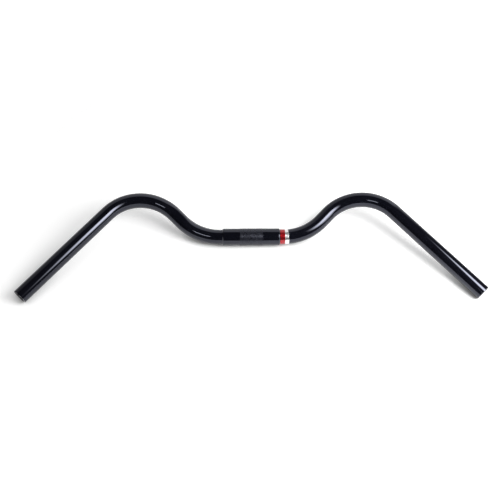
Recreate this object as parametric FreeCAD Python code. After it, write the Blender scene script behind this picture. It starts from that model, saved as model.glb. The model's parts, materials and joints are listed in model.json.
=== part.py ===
import FreeCAD, Part

import math
import os

from FreeCAD import Vector

# A swept-back bicycle handlebar, in millimetres. The origin is on the tube's axis, in the middle of the clamp.
# +X runs along the clamp to the rider's right, +Y points forward and +Z up. The bar lies as it comes to rest on
# a flat surface: on the clamp sleeve and on the rims of both tube ends.

# Tube
tube_diameter = 22.2
tube_wall = 1.6
rim_round = 0.4

# Sleeve at the clamp, pressed on the tube a little to the left of its middle
sleeve_wall = 1.6
sleeve_lip = 0.2
sleeve_length = 86.0
sleeve_shift = -1.2
knurl_length = 34.0
knurl_rise = 0.06

# Bends, measured on the tube's axis, from the middle outwards
straight_beside_sleeve = 5.0
rise_radius = 80.0
rise_angle = 45.5
rise_tilt = 29.0
link_length = 15.0
sweep_radius = 68.0
sweep_back = 47.5
grip_length = 175.0

# Trim bands round the tube, to the right of the sleeve
band_thickness = 0.25
band_film = 0.02
band_gap = 0.2
red_band_width = 7.1
silver_band_width = 5.4

tube_radius = tube_diameter / 2
bore_radius = tube_radius - tube_wall
rim_fillet = min(rim_round, tube_wall / 4)
sleeve_radius = tube_radius + sleeve_wall
sleeve_chamfer = sleeve_wall - sleeve_lip
knurl_radius = sleeve_radius + knurl_rise
clamp_straight = sleeve_length + 2 * straight_beside_sleeve
clamp_axis = Vector(1, 0, 0)
same_place = 0.001


def grip_direction(droop):
    """Outward direction of the right grip, swept back in plan and drooping by the given angle."""
    back = math.radians(sweep_back)
    down = math.radians(droop)
    level = math.cos(down)
    return Vector(math.cos(back) * level, -math.sin(back) * level, -math.sin(down))


def rise_direction():
    """Direction of the right half between its two bends, forward and up."""
    turn = math.radians(rise_angle)
    tilt = math.radians(rise_tilt)
    return Vector(math.cos(turn), math.sin(turn) * math.cos(tilt), math.sin(turn) * math.sin(tilt))


class Run:
    """A straight stretch of the tube's axis."""

    def __init__(self, start, direction, length):
        self.start = start
        self.direction = direction
        self.length = length

    def place(self, distance):
        return self.start + self.direction * distance

    def heading(self, distance):
        return self.direction

    def sweep(self, face, distance):
        return face.extrude(self.direction * distance)


class Bend:
    """An arc of the tube's axis that turns one direction into another."""

    def __init__(self, start, direction, new_direction, radius):
        self.start = start
        self.direction = direction
        self.radius = radius
        self.angle = direction.getAngle(new_direction)
        self.axis = direction.cross(new_direction).normalize()
        self.centre = start + self.axis.cross(direction) * radius
        self.length = radius * self.angle

    def turned(self, distance):
        return FreeCAD.Rotation(self.axis, math.degrees(distance / self.radius))

    def place(self, distance):
        return self.centre + self.turned(distance).multVec(self.start - self.centre)

    def heading(self, distance):
        return self.turned(distance).multVec(self.direction)

    def sweep(self, face, distance):
        return face.revolve(self.centre, self.axis, math.degrees(distance / self.radius))


def half_axis(droop):
    """The right half of the tube's axis from the middle outwards: straight, rise, link, sweep, grip."""
    rise = rise_direction()
    grip = grip_direction(droop)
    stretches = [Run(Vector(), clamp_axis, clamp_straight / 2)]

    def end():
        return stretches[-1].place(stretches[-1].length)

    stretches.append(Bend(end(), clamp_axis, rise, rise_radius))
    stretches.append(Run(end(), rise, link_length))
    stretches.append(Bend(end(), rise, grip, sweep_radius))
    stretches.append(Run(end(), grip, grip_length))
    return stretches


def lowest_of_end(droop):
    """Height of the lowest point of the right end's rounded rim."""
    grip = half_axis(droop)[-1]
    down = math.radians(droop)
    sharp_corner = grip.place(grip_length).z - tube_radius * math.cos(down)
    return sharp_corner + rim_fillet * (math.sin(down) + math.cos(down) - 1)


def resting_droop():
    """Droop of the grips at which both rims lie on the surface under the sleeve, by halving the range."""
    level, steep = 0.0, 45.0
    for step in range(50):
        middle = (level + steep) / 2
        if lowest_of_end(middle) > -knurl_radius:
            level = middle
        else:
            steep = middle
    return level


def ring_face(centre, direction, inner, outer):
    """A flat ring across the tube's axis."""
    disc = Part.Face(Part.Wire(Part.makeCircle(outer, centre, direction)))
    hole = Part.Face(Part.Wire(Part.makeCircle(inner, centre, direction)))
    return disc.cut(hole).Faces[0]


def hollow_length(stretches, begin, finish, inner, outer):
    """A hollow solid along the axis, between two distances from the middle."""
    pieces = []
    passed = 0.0
    for stretch in stretches:
        low = max(begin - passed, 0.0)
        high = min(finish - passed, stretch.length)
        if high > low:
            face = ring_face(stretch.place(low), stretch.heading(low), inner, outer)
            pieces.append(stretch.sweep(face, high - low))
        passed += stretch.length
    solid = pieces[0]
    if len(pieces) > 1:
        solid = solid.multiFuse(pieces[1:])
    return solid.removeSplitter()


def round_rims(solid, centres):
    """Takes the sharp edges off the tube's open ends."""
    circles = [edge for edge in solid.Edges if isinstance(edge.Curve, Part.Circle)]
    rims = [edge for edge in circles if any(edge.Curve.Center.isEqual(centre, same_place) for centre in centres)]
    return solid.makeFillet(rim_fillet, rims)


def handlebar_tube(stretches):
    length = sum(stretch.length for stretch in stretches)
    right = hollow_length(stretches, 0.0, length, bore_radius, tube_radius)
    left = right.mirror(Vector(), clamp_axis)
    end = stretches[-1].place(grip_length)
    bar = right.fuse(left).removeSplitter()
    return round_rims(bar, [end, Vector(-end.x, end.y, end.z)])


def clamp_sleeve():
    """The thicker sleeve, with softened ends and the raised patch that carries the knurl."""
    end = sleeve_length / 2
    patch = knurl_length / 2
    middle = Vector(sleeve_shift, 0, 0)
    outline = [
        (-end, tube_radius),
        (-end, sleeve_radius - sleeve_chamfer),
        (-end + sleeve_chamfer, sleeve_radius),
        (-patch - knurl_rise, sleeve_radius),
        (-patch, knurl_radius),
        (patch, knurl_radius),
        (patch + knurl_rise, sleeve_radius),
        (end - sleeve_chamfer, sleeve_radius),
        (end, sleeve_radius - sleeve_chamfer),
        (end, tube_radius),
    ]
    points = [middle + Vector(along, 0, radius) for along, radius in outline]
    face = Part.Face(Part.makePolygon(points + points[:1]))
    return face.revolve(Vector(), clamp_axis, 360)


def trim_band(stretches, begin, width):
    inner = tube_radius + band_film
    return hollow_length(stretches, begin, begin + width, inner, inner + band_thickness)


def main():
    stretches = half_axis(resting_droop())
    red_begin = sleeve_shift + sleeve_length / 2 + band_gap
    silver_begin = red_begin + red_band_width
    parts = {
        "handlebar_tube": handlebar_tube(stretches),
        "clamp_sleeve": clamp_sleeve(),
        "red_band": trim_band(stretches, red_begin, red_band_width),
        "silver_band": trim_band(stretches, silver_begin, silver_band_width),
    }
    os.makedirs("parts", exist_ok=True)
    for name, shape in parts.items():
        shape.exportStep("parts/" + name + ".step")


main()
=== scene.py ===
"""A swept-back bicycle handlebar in gloss black lacquer, lying on white paper."""

import json
import math

import bmesh
import bpy
from mathutils import Matrix, Vector


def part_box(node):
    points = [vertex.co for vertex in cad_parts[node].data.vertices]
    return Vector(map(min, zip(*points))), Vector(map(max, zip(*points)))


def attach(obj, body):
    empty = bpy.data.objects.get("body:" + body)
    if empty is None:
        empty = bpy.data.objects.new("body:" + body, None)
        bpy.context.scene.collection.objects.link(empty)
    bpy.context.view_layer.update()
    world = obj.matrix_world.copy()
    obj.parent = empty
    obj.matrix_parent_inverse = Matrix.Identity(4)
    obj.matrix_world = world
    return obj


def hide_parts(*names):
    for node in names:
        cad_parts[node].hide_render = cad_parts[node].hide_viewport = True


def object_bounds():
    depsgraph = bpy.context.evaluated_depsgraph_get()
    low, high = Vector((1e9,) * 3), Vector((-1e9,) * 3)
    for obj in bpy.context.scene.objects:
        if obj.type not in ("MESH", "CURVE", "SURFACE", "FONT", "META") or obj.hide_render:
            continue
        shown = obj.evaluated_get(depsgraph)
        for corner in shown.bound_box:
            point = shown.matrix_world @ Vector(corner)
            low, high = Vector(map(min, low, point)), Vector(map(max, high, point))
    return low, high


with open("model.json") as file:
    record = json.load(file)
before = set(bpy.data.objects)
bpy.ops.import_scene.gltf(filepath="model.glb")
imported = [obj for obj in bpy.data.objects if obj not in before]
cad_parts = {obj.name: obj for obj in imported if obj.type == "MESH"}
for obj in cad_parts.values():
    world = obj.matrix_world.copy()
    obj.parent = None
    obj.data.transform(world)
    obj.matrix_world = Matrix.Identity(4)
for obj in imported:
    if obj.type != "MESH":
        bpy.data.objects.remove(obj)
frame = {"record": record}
solid_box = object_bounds()

# Sizes, in metres
mm = 0.001
mounts = {mount["name"]: mount for mount in frame["record"]["mounts"]}
tube_radius = mounts["right_grip"]["dims"]["r_mm"] * mm
bore_radius = mounts["right_bar_end"]["dims"]["r_mm"] * mm
sleeve_radius = mounts["stem_clamp"]["dims"]["r_mm"] * mm
tube_wall = tube_radius - bore_radius
rim_round = 0.4 * mm
clamp_axis = Vector((1, 0, 0))
upright = Vector((0, 0, 1))
grip_direction = Vector(mounts["right_grip"]["axis"]).normalized()

sleeve_left, sleeve_right = (corner.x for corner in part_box("clamp_sleeve"))
sleeve_middle = (sleeve_left + sleeve_right) / 2
sleeve_lip = 0.2 * mm
sleeve_chamfer = sleeve_radius - tube_radius - sleeve_lip
sleeve_edge_round = 0.5 * mm

knurl_length = 34.0 * mm
knurl_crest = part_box("clamp_sleeve")[1].z
knurl_steps = ((0.12 * mm, 0.040 * mm), (0.10 * mm, 0.023 * mm), (0.08 * mm, 0.010 * mm))
knurl_depth = sum(rise for narrowing, rise in knurl_steps)
knurl_run_out = 0.5 * mm
knurl_starts = 72
knurl_rows = 32

clamp_straight = 96.0 * mm
rise_radius = 80.0 * mm
rise_angle = math.radians(45.5)
rise_tilt = math.radians(29.0)
link_length = 15.0 * mm
sweep_radius = 68.0 * mm
grip_length = 175.0 * mm

band_film = 0.02 * mm
band_thickness = 0.25 * mm
band_edge_round = 0.08 * mm
red_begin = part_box("red_band")[0].x
red_width = 7.1 * mm
silver_width = 5.4 * mm

tube_sides = 72
ring_spacing = 3.0 * mm
crease = math.radians(6)
rim_round_steps, sleeve_round_steps, band_round_steps = 3, 3, 2
knurl_finish, bore_finish, rim_finish = 1, 1, 2
same_place = 0.001 * mm
hoop_slack = tube_wall / 50

# Camera, fitted to the photograph's frame of 500 by 500 pixels
frame_pixels = 500
focal_pixels = 774.26
sensor_width = 36.0
camera_target = Vector((-3.6, -24.8, 0.0)) * mm
camera_distance = 1145.0 * mm
camera_elevation = math.radians(52.3)
camera_yaw = math.radians(-3.64)
camera_roll = math.radians(2.51)

# Paper floor
floor_height = solid_box[0].z
floor_radius = 8.0
floor_sides = 64
paper_tone, paper_roughness = 0.55, 0.9

# Glow of the paper towards white for the eye, with painted light from left to right and far from the bar
painted_light_reach = 0.36
painted_light_left, painted_light_right = 0.69, 0.96
painted_light_far_begin, painted_light_far_end = 0.30, 0.62
glow_near_bar, painted_light_far = 0.60, 1.05
mirrored_glow_share = 0.65

# Painted shade in the paper's glow near the bar; the close reach, aimed at the panel, paints a contact
# shadow
painted_shade_reach, painted_contact_shadow_reach = 1.0, 12.0 * mm
painted_shade_samples = 8

# Panel, a large soft light on the right
panel_place = Vector((0.4995, -0.4655, 0.688))
panel_facing = Vector((-0.871, -0.264, -0.414))
panel_turn = -1.017
panel_width, panel_height = 1.07, 0.783
panel_edges = ((0.50, 0.11), (0.55, 0.166))
panel_power = 42.2

# Window, a small light in front
window_place = Vector((-0.36, -1.20, 1.40))
window_width, window_height = 0.30, 0.24
window_power = 1.4

# Room, with a pale wall behind the bar that only mirrors see
room_light = 0.02
wall_tone = 1.3
wall_begin, wall_full, wall_end = math.radians(45), math.radians(53), math.radians(165)
wall_top, wall_over = math.sin(math.radians(53)), math.sin(math.radians(66))


class Run:
    """A straight stretch of the tube's axis."""

    def __init__(self, start, direction, length):
        self.start = start
        self.direction = direction
        self.length = length

    def place(self, distance):
        return self.start + self.direction * distance

    def heading(self, distance):
        return self.direction

    def push(self, bm, ring, distance):
        """Draws a ring of edges out along the stretch, and gives the new ring."""
        steps = max(1, round(distance / ring_spacing))
        for step in range(steps):
            drawn = bmesh.ops.extrude_edge_only(bm, edges=ring)["geom"]
            corners = [item for item in drawn if isinstance(item, bmesh.types.BMVert)]
            bmesh.ops.translate(bm, verts=corners, vec=self.direction * (distance / steps))
            ring = [item for item in drawn if isinstance(item, bmesh.types.BMEdge)]
        return ring


class Bend:
    """An arc of the tube's axis that turns one direction into another."""

    def __init__(self, start, direction, new_direction, radius):
        self.start = start
        self.direction = direction
        self.radius = radius
        self.angle = direction.angle(new_direction)
        self.axis = direction.cross(new_direction).normalized()
        self.centre = start + self.axis.cross(direction) * radius
        self.length = radius * self.angle

    def turned(self, distance):
        return Matrix.Rotation(distance / self.radius, 3, self.axis)

    def place(self, distance):
        return self.centre + self.turned(distance) @ (self.start - self.centre)

    def heading(self, distance):
        return self.turned(distance) @ self.direction

    def push(self, bm, ring, distance):
        """Spins a ring of edges round the bend, and gives the new ring."""
        steps = max(1, round(distance / ring_spacing))
        spun = bmesh.ops.spin(bm, geom=ring, cent=self.centre, axis=self.axis,
                              angle=distance / self.radius, steps=steps, use_duplicate=False)["geom_last"]
        return [item for item in spun if isinstance(item, bmesh.types.BMEdge)]


def half_axis():
    """The right half of the tube's axis from the middle outwards: straight, rise, link, sweep, grip."""
    rise = Vector((math.cos(rise_angle), math.sin(rise_angle) * math.cos(rise_tilt),
                   math.sin(rise_angle) * math.sin(rise_tilt)))
    stretches = [Run(Vector(), clamp_axis, clamp_straight / 2)]

    def end():
        return stretches[-1].place(stretches[-1].length)

    stretches.append(Bend(end(), clamp_axis, rise, rise_radius))
    stretches.append(Run(end(), rise, link_length))
    stretches.append(Bend(end(), rise, grip_direction, sweep_radius))
    stretches.append(Run(end(), grip_direction, grip_length))
    return stretches


stretches = half_axis()
axis_length = sum(stretch.length for stretch in stretches)


def draw_skin(bm, begin, finish, radius):
    """An open tube skin along the axis, between two distances from the middle."""
    ring = None
    passed = 0.0
    for stretch in stretches:
        low = max(begin - passed, 0.0)
        high = min(finish - passed, stretch.length)
        if high > low + same_place:
            if ring is None:
                across = stretch.heading(low).to_track_quat("Z", "Y").to_matrix().to_4x4()
                bmesh.ops.create_circle(bm, segments=tube_sides, radius=radius,
                                        matrix=Matrix.Translation(stretch.place(low)) @ across)
                ring = bm.edges[:]
            ring = stretch.push(bm, ring, high - low)
        passed += stretch.length


def thicken(bm, wall):
    """Closes an open skin into a wall, inwards, and gives the faces of its inner side."""
    bmesh.ops.remove_doubles(bm, verts=bm.verts, dist=same_place)
    bmesh.ops.recalc_face_normals(bm, faces=bm.faces)
    skin = set(bm.verts)
    bmesh.ops.solidify(bm, geom=bm.faces[:], thickness=wall)
    bmesh.ops.recalc_face_normals(bm, faces=bm.faces)
    return [face for face in bm.faces if not skin & set(face.verts)]


def hoops_at(bm, centre, direction):
    """The edges that run round the axis in the plane of an open end."""

    def reach(corner):
        return (corner.co - centre).length

    flat = [edge for edge in bm.edges
            if all(abs((corner.co - centre).dot(direction)) < same_place for corner in edge.verts)]
    return [edge for edge in flat if abs(reach(edge.verts[0]) - reach(edge.verts[1])) < hoop_slack]


def round_off(bm, edges, radius, segments):
    """Rounds the edges, and gives the new faces."""
    return bmesh.ops.bevel(bm, geom=edges, offset=radius, offset_type="OFFSET", affect="EDGES",
                           segments=segments, profile=0.5, material=-1)["faces"]


def finished_piece(name, bm, materials):
    """Turns a bmesh into a smooth piece that rides on the bar and stands for the node of the same name."""
    for face in bm.faces:
        face.smooth = True
    for edge in bm.edges:
        knurled = all(face.material_index == knurl_finish for face in edge.link_faces)
        edge.smooth = knurled or edge.calc_face_angle(0.0) < crease
    mesh = bpy.data.meshes.new(name)
    bm.to_mesh(mesh)
    bm.free()
    piece = bpy.data.objects.new(name + "_finish", mesh)
    for material in materials:
        mesh.materials.append(material)
    bpy.context.scene.collection.objects.link(piece)
    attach(piece, "root")
    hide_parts(name)


# Finishes
class Nodes:
    """A node tree, with short ways to add and join its nodes."""

    def __init__(self, tree):
        self.tree = tree

    def node(self, kind, **settings):
        made = self.tree.nodes.new(kind)
        for key, value in settings.items():
            setattr(made, key, value)
        return made

    def join(self, source, target):
        self.tree.links.new(source, target)

    def math(self, operation, first, second):
        """Joins a value with another, or with a number."""
        made = self.node("ShaderNodeMath", operation=operation)
        self.join(first, made.inputs[0])
        if isinstance(second, float):
            made.inputs[1].default_value = second
        else:
            self.join(second, made.inputs[1])
        return made.outputs["Value"]

    def span(self, source, begin, end, low, high, smooth=False):
        """Maps a value from one range to another."""
        made = self.node("ShaderNodeMapRange", interpolation_type="SMOOTHSTEP" if smooth else "LINEAR")
        made.inputs["From Min"].default_value = begin
        made.inputs["From Max"].default_value = end
        made.inputs["To Min"].default_value = low
        made.inputs["To Max"].default_value = high
        self.join(source, made.inputs["Value"])
        return made.outputs["Result"]

    def looked_at(self):
        """Two values: 1 for rays from the camera, and 1 for rays by way of gloss or glass."""
        path = self.node("ShaderNodeLightPath")
        mirrored = self.math("MAXIMUM", path.outputs["Is Glossy Ray"], path.outputs["Is Transmission Ray"])
        return path.outputs["Is Camera Ray"], mirrored


class Finish(Nodes):
    """A material for one of the bar's surfaces."""

    def __init__(self, name):
        self.material = bpy.data.materials.new(name)
        self.material.use_nodes = True
        super().__init__(self.material.node_tree)
        self.shader = self.tree.nodes["Principled BSDF"]

    def set(self, socket, value):
        self.shader.inputs[socket].default_value = value

    def grain(self, scale, detail, stretch=(1, 1, 1)):
        """Noise on the piece's own coordinates, stretched along its axes."""
        place = self.node("ShaderNodeTexCoord")
        mapping = self.node("ShaderNodeMapping")
        mapping.inputs["Scale"].default_value = stretch
        noise = self.node("ShaderNodeTexNoise")
        noise.inputs["Scale"].default_value = scale
        noise.inputs["Detail"].default_value = detail
        self.join(place.outputs["Object"], mapping.inputs["Vector"])
        self.join(mapping.outputs["Vector"], noise.inputs["Vector"])
        return noise.outputs["Fac"]

    def roughen(self, source, low, high):
        """Varies the roughness by a grain."""
        self.join(self.span(source, *grain_range, low, high), self.shader.inputs["Roughness"])

    def tint(self, source, dark, light):
        """Blends the base colour between two tones by a grain."""
        ramp = self.node("ShaderNodeValToRGB")
        for element, position, tone in zip(ramp.color_ramp.elements, tone_range, (dark, light)):
            element.position = position
            element.color = (*tone, 1)
        self.join(source, ramp.inputs["Fac"])
        self.join(ramp.outputs["Color"], self.shader.inputs["Base Color"])

    def relief(self, source, height):
        """Raises the surface by a grain."""
        bump = self.node("ShaderNodeBump")
        bump.inputs["Distance"].default_value = height
        self.join(source, bump.inputs["Height"])
        self.join(bump.outputs["Normal"], self.shader.inputs["Normal"])


grain_range = (0.3, 0.7)
tone_range = (0.35, 0.65)
lacquer_index = 1.6
lacquer_sheen = (0.79, 0.82, 1.0, 1)
brushed = (60, 1, 1)
brushed_spread = 0.2
clear_coat_roughness = 0.08


def black_lacquer():
    """Gloss black with a cold sheen, and the faint ripple of sprayed paint."""
    finish = Finish("black_lacquer")
    finish.tint(finish.grain(scale=30, detail=3),
                dark=(0.0026, 0.0027, 0.0048), light=(0.0038, 0.0040, 0.0066))
    finish.roughen(finish.grain(scale=55, detail=4), low=0.02, high=0.05)
    finish.relief(finish.grain(scale=300, detail=1), height=0.001 * mm)
    finish.set("IOR", lacquer_index)
    finish.set("Specular Tint", lacquer_sheen)
    return finish.material


def bore_coat():
    """Dull overspray inside the tube."""
    finish = Finish("bore_coat")
    finish.tint(finish.grain(scale=160, detail=4), dark=(0.006, 0.006, 0.007), light=(0.020, 0.019, 0.019))
    finish.roughen(finish.grain(scale=260, detail=4), low=0.45, high=0.75)
    finish.relief(finish.grain(scale=900, detail=3), height=0.02 * mm)
    return finish.material


def knurl_lacquer():
    """The same black, duller where it has filled the knurl."""
    finish = Finish("knurl_lacquer")
    finish.tint(finish.grain(scale=140, detail=3),
                dark=(0.0032, 0.0033, 0.0058), light=(0.0054, 0.0056, 0.0090))
    finish.roughen(finish.grain(scale=300, detail=3), low=0.24, high=0.34)
    finish.relief(finish.grain(scale=2600, detail=2), height=0.002 * mm)
    finish.set("IOR", lacquer_index)
    finish.set("Specular Tint", lacquer_sheen)
    return finish.material


def worn_and_highlit_rim():
    """Lacquer worn through to bright steel along the rims of the tube, light enough to paint in their pale
    highlight.
    """
    finish = Finish("worn_and_highlit_rim")
    wear_and_highlight = finish.grain(scale=240, detail=4)
    # Painted highlight as well as wear: the light tone and bare metal give the rims their pale line
    finish.tint(wear_and_highlight, dark=(0.010, 0.010, 0.014), light=(0.46, 0.46, 0.48))
    finish.roughen(finish.grain(scale=500, detail=3), low=0.22, high=0.40)
    bare = finish.span(wear_and_highlight, begin=0.40, end=0.55, low=0.0, high=1.0)
    finish.join(bare, finish.shader.inputs["Metallic"])
    finish.relief(wear_and_highlight, height=0.01 * mm)
    return finish.material


def foil(name, dark, light, metal, roughness, coat):
    """Bright foil with fine lines that run round the tube, under a clear coat."""
    finish = Finish(name)
    finish.tint(finish.grain(scale=90, detail=2), dark, light)
    finish.roughen(finish.grain(scale=60, detail=3, stretch=brushed),
                   roughness * (1 - brushed_spread), roughness * (1 + brushed_spread))
    finish.relief(finish.grain(scale=60, detail=2, stretch=brushed), height=0.002 * mm)
    finish.set("Metallic", metal)
    finish.set("Coat Weight", coat)
    finish.set("Coat Roughness", clear_coat_roughness)
    return finish.material


# Pieces of the bar
def make_tube(lacquer, coat, rim):
    """The bent tube: half of it drawn along its axis, mirrored, then given its wall and its rims."""
    bm = bmesh.new()
    draw_skin(bm, 0.0, axis_length, tube_radius)
    bmesh.ops.mirror(bm, geom=bm.verts[:] + bm.edges[:] + bm.faces[:], axis="X", merge_dist=same_place)
    for face in thicken(bm, tube_wall):
        face.material_index = bore_finish
    end = stretches[-1].place(grip_length)
    other = Vector((-end.x, end.y, end.z))
    other_direction = Vector((-grip_direction.x, grip_direction.y, grip_direction.z))
    rims = hoops_at(bm, end, grip_direction) + hoops_at(bm, other, other_direction)
    for face in round_off(bm, rims, rim_round, rim_round_steps):
        face.material_index = rim_finish
    finished_piece("handlebar_tube", bm, [lacquer, coat, rim])


def make_sleeve(lacquer, knurled):
    """The clamp sleeve: one outline spun round the tube, then the knurl pressed into its middle."""
    patch_left = sleeve_middle - knurl_length / 2
    patch_right = sleeve_middle + knurl_length / 2
    groove = knurl_crest - knurl_depth
    lip = sleeve_radius - sleeve_chamfer
    outline = [(sleeve_left, tube_radius), (sleeve_left, lip),
               (sleeve_left + sleeve_chamfer, sleeve_radius), (patch_left - knurl_run_out, sleeve_radius)]
    row = knurl_length / knurl_rows
    outline += [(patch_left + row * count, groove) for count in range(knurl_rows + 1)]
    outline += [(patch_right + knurl_run_out, sleeve_radius),
                (sleeve_right - sleeve_chamfer, sleeve_radius),
                (sleeve_right, lip), (sleeve_right, tube_radius)]
    bm = bmesh.new()
    corners = [bm.verts.new((along, 0.0, radius)) for along, radius in outline]
    chain = [bm.edges.new(pair) for pair in zip(corners, corners[1:] + corners[:1])]
    bmesh.ops.spin(bm, geom=corners + chain, cent=(0, 0, 0), axis=clamp_axis, angle=2 * math.pi,
                   steps=knurl_starts, use_merge=True, use_duplicate=False)
    bmesh.ops.remove_doubles(bm, verts=bm.verts, dist=same_place)
    bmesh.ops.recalc_face_normals(bm, faces=bm.faces)
    press_knurl(bm, patch_left, patch_right)
    shoulders = [edge for edge in bm.edges if is_shoulder(edge)]
    round_off(bm, shoulders, sleeve_edge_round, sleeve_round_steps)
    finished_piece("clamp_sleeve", bm, [lacquer, knurled])


def is_shoulder(edge):
    """True for the hoops where the sleeve's chamfers begin."""
    beginnings = (sleeve_left + sleeve_chamfer, sleeve_right - sleeve_chamfer)
    return any(all(abs(corner.co.x - along) < same_place for corner in edge.verts) for along in beginnings)


def press_knurl(bm, patch_left, patch_right):
    """Turns the grid of the patch into raised diamonds with soft crests."""
    low, high = patch_left - same_place, patch_right + same_place
    patch = [face for face in bm.faces
             if all(low < corner.co.x < high for corner in face.verts)
             and face.calc_center_median().yz.length > sleeve_radius - 2 * knurl_depth]
    middles = set(bmesh.ops.poke(bm, faces=patch)["verts"])
    straight = {edge for middle in middles for face in middle.link_faces for edge in face.edges
                if not middles & set(edge.verts)}
    inner = [edge for edge in straight if all(middles & set(face.verts) for face in edge.link_faces)]
    bmesh.ops.dissolve_edges(bm, edges=inner, use_verts=False)
    diamonds = list({face for middle in middles for face in middle.link_faces if len(face.verts) == 4})
    for face in {face for middle in middles for face in middle.link_faces}:
        face.material_index = knurl_finish
    for narrowing, rise in knurl_steps:
        bmesh.ops.inset_individual(bm, faces=diamonds, thickness=narrowing, depth=rise,
                                   use_even_offset=True)


def make_band(name, begin, width, material):
    """A ring of foil round the tube."""
    bm = bmesh.new()
    draw_skin(bm, begin, begin + width, tube_radius + band_film + band_thickness)
    thicken(bm, band_thickness)
    sides = [edge for edge in bm.edges if edge.calc_face_angle(0.0) > crease]
    round_off(bm, sides, band_edge_round, band_round_steps)
    finished_piece(name, bm, [material])


lacquer = black_lacquer()
make_tube(lacquer, bore_coat(), worn_and_highlit_rim())
make_sleeve(lacquer, knurl_lacquer())
red_foil = foil("red_foil", dark=(0.38, 0.006, 0.011), light=(0.44, 0.010, 0.018),
                metal=0.85, roughness=0.29, coat=0.85)
silver_foil = foil("silver_foil", dark=(0.90, 0.87, 0.89), light=(0.96, 0.94, 0.95),
                   metal=1.0, roughness=0.28, coat=0.3)
make_band("red_band", red_begin, red_width, red_foil)
make_band("silver_band", red_begin + red_width, silver_width, silver_foil)


# Paper, lights, room and camera
def openness_for_painted_shade(finish, reach, towards):
    """How much of a direction's side is open at a place, within a reach; it paints shade into the paper's
    glow.
    """
    painted_shade = finish.node("ShaderNodeAmbientOcclusion", samples=painted_shade_samples)
    painted_shade.inputs["Distance"].default_value = reach
    aim = finish.node("ShaderNodeCombineXYZ")
    for axis, share in zip("XYZ", towards.normalized()):
        aim.inputs[axis].default_value = share
    finish.join(aim.outputs["Vector"], painted_shade.inputs["Normal"])
    return painted_shade.outputs["AO"]


def paper_floor():
    """White paper that keeps the bar's shadow, glowing towards white for the eye and for mirrors, with
    painted light and shade.
    """
    bm = bmesh.new()
    bmesh.ops.create_circle(bm, cap_ends=True, segments=floor_sides, radius=floor_radius,
                            matrix=Matrix.Translation((0, 0, floor_height)))
    mesh = bpy.data.meshes.new("paper_floor")
    bm.to_mesh(mesh)
    bm.free()
    paper = Finish("white_paper")
    paper.set("Base Color", (paper_tone, paper_tone, paper_tone, 1))
    paper.set("Roughness", paper_roughness)
    paper.set("Specular IOR Level", 0.0)
    paper.set("Emission Color", (1, 1, 1, 1))
    place = paper.node("ShaderNodeTexCoord").outputs["Object"]
    apart = paper.node("ShaderNodeSeparateXYZ")
    paper.join(place, apart.inputs["Vector"])
    reach = paper.node("ShaderNodeVectorMath", operation="LENGTH")
    paper.join(place, reach.inputs[0])
    # Painted light: the glow grows brighter to the right and with the distance from the bar
    across = paper.span(apart.outputs["X"], -painted_light_reach, painted_light_reach, painted_light_left, painted_light_right)
    painted_light_by_distance = paper.span(reach.outputs["Value"], painted_light_far_begin, painted_light_far_end, glow_near_bar, painted_light_far, smooth=True)
    # Painted shade: occlusion darkens the glow under and beside the bar, more on the panel's side as a
    # painted shadow
    painted_shade = paper.math("MULTIPLY", openness_for_painted_shade(paper, painted_shade_reach, upright),
                       openness_for_painted_shade(paper, painted_contact_shadow_reach, panel_place))
    painted_light_and_shade = paper.math("MULTIPLY", paper.math("MAXIMUM", across, painted_light_by_distance), painted_shade)
    camera, mirrored = paper.looked_at()
    seen = paper.math("MAXIMUM", camera, paper.math("MULTIPLY", mirrored, mirrored_glow_share))
    paper.join(paper.math("MULTIPLY", painted_light_and_shade, seen), paper.shader.inputs["Emission Strength"])
    mesh.materials.append(paper.material)
    sheet = bpy.data.objects.new("paper_floor", mesh)
    bpy.context.scene.collection.objects.link(sheet)


def area_light(name, place, facing, turn, width, height, power):
    """A rectangular lamp, turned about the direction that it faces."""
    light = bpy.data.lights.new(name, "AREA")
    light.shape = "RECTANGLE"
    light.size = width
    light.size_y = height
    light.energy = power
    lamp = bpy.data.objects.new(name, light)
    aim = facing.to_track_quat("-Z", "Y").to_matrix().to_4x4()
    lamp.matrix_world = Matrix.Translation(place) @ aim @ Matrix.Rotation(turn, 4, "Z")
    bpy.context.scene.collection.objects.link(lamp)
    return light


def soften(light, edges):
    """Dims a panel of light towards its edges, over shares of its width and of its height."""
    light.use_nodes = True
    panel = Nodes(light.node_tree)
    apart = panel.node("ShaderNodeSeparateXYZ")
    panel.join(panel.node("ShaderNodeNewGeometry").outputs["Parametric"], apart.inputs["Vector"])
    shown = 1.0
    for axis, (low, high) in zip(("X", "Y"), edges):
        begins = panel.span(apart.outputs[axis], 0.0, low, 0.0, 1.0, smooth=True)
        ends = panel.span(apart.outputs[axis], 1.0 - high, 1.0, 1.0, 0.0, smooth=True)
        shown = panel.math("MULTIPLY", panel.math("MULTIPLY", begins, ends), shown)
    panel.join(shown, panel.tree.nodes["Emission"].inputs["Strength"])


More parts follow.
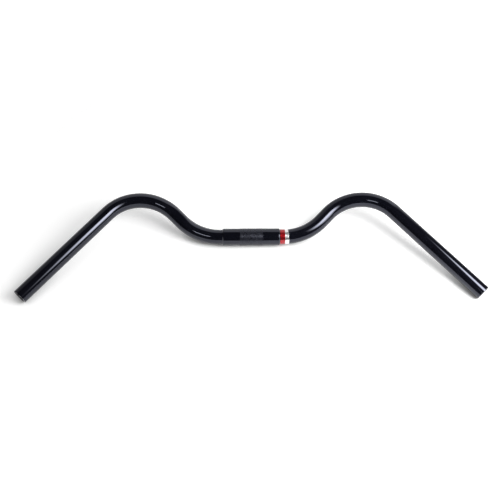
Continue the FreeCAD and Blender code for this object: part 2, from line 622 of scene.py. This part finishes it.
def studio_room():
    """The room round the paper: plain white behind it, and in mirrors a pale wall under a dark ceiling."""
    world = bpy.data.worlds.new("studio_room")
    bpy.context.scene.world = world
    world.use_nodes = True
    room = Nodes(world.node_tree)
    towards = room.node("ShaderNodeTexCoord").outputs["Generated"]
    apart = room.node("ShaderNodeSeparateXYZ")
    room.join(towards, apart.inputs["Vector"])
    height = apart.outputs["Z"]
    azimuth = room.math("ARCTAN2", apart.outputs["Y"], apart.outputs["X"])
    begins = room.span(azimuth, wall_begin, wall_full, 0.0, wall_tone, smooth=True)
    fades = room.span(azimuth, wall_full, wall_end, 1.0, 0.0)
    below = room.span(height, wall_top, wall_over, 1.0, 0.0, smooth=True)
    wall = room.math("MULTIPLY", room.math("MULTIPLY", begins, fades), below)
    camera, mirrored = room.looked_at()
    shown = room.math("MAXIMUM", camera, room.math("MULTIPLY", wall, mirrored))
    background = room.tree.nodes["Background"]
    background.inputs["Color"].default_value = (1, 1, 1, 1)
    room.join(room.math("MAXIMUM", shown, room_light), background.inputs["Strength"])


def photo_camera():
    """The camera at the photograph's place, with its focal length."""
    back = Vector((math.sin(camera_yaw) * math.cos(camera_elevation),
                   -math.cos(camera_yaw) * math.cos(camera_elevation), math.sin(camera_elevation)))
    right = (-back).cross(upright).normalized()
    level = Matrix((right, right.cross(-back), back)).transposed()
    data = bpy.data.cameras.new("photo_camera")
    data.sensor_width = sensor_width
    data.lens = focal_pixels / frame_pixels * sensor_width
    camera = bpy.data.objects.new("photo_camera", data)
    turned = (level @ Matrix.Rotation(camera_roll, 3, "Z")).to_4x4()
    camera.matrix_world = Matrix.Translation(camera_target + back * camera_distance) @ turned
    bpy.context.scene.collection.objects.link(camera)
    bpy.context.scene.camera = camera


paper_floor()
panel = area_light("panel", panel_place, panel_facing, panel_turn, panel_width, panel_height, panel_power)
soften(panel, panel_edges)
area_light("window", window_place, -window_place, 0.0, window_width, window_height, window_power)
studio_room()
photo_camera()
bpy.context.scene.view_settings.view_transform = "Standard"
